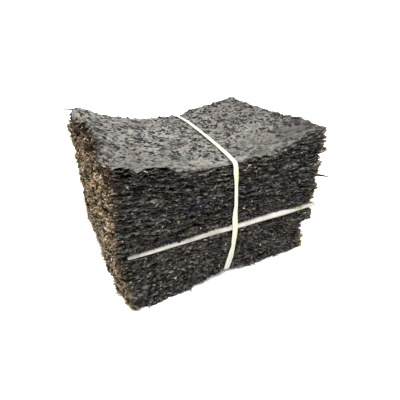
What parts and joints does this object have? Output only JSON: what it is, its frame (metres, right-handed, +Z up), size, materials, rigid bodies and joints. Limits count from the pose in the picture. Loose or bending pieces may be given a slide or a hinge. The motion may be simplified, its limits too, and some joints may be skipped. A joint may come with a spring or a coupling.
{
  "type": "tied bundle of nori sheets",
  "caption": "Tied block of dried nori sheets, bowed up at its ends, with a white paper slip between the piles and a flat band drawn tight round the middle.",
  "frame": {"origin": "bottom centre of the bundle's box, on the surface that it stands on", "axes": "+X along the long edge of the sheets, to the right as seen from the front; +Y from the front to the back; +Z up"},
  "size_m": [0.2196, 0.1984, 0.142],
  "materials": {
    "nori": "rough pressed dried seaweed, near black with olive and purple tints",
    "slip_paper": "plain white paper, matte",
    "band_tape": "cream flat plastic tape, soft satin"
  },
  "bodies": {
    "root": {"nori_lower_01": "nori", "nori_lower_02": "nori", "nori_lower_03": "nori", "nori_lower_04": "nori", "nori_lower_05": "nori", "nori_lower_06": "nori", "nori_lower_07": "nori", "nori_lower_08": "nori", "nori_lower_09": "nori", "nori_lower_10": "nori", "nori_lower_11": "nori", "nori_lower_12": "nori", "nori_lower_13": "nori", "nori_lower_14": "nori", "nori_lower_15": "nori", "nori_lower_16": "nori", "nori_upper_01": "nori", "nori_upper_02": "nori", "nori_upper_03": "nori", "nori_upper_04": "nori", "nori_upper_05": "nori", "nori_upper_06": "nori", "nori_upper_07": "nori", "nori_upper_08": "nori", "nori_upper_09": "nori", "nori_upper_10": "nori", "nori_upper_11": "nori", "nori_upper_12": "nori", "nori_upper_13": "nori", "nori_upper_14": "nori", "nori_upper_15": "nori", "nori_upper_16": "nori", "nori_upper_17": "nori", "nori_upper_18": "nori", "nori_upper_19": "nori", "slip_sheet": "slip_paper", "band": "band_tape"}
  },
  "joints": []
}
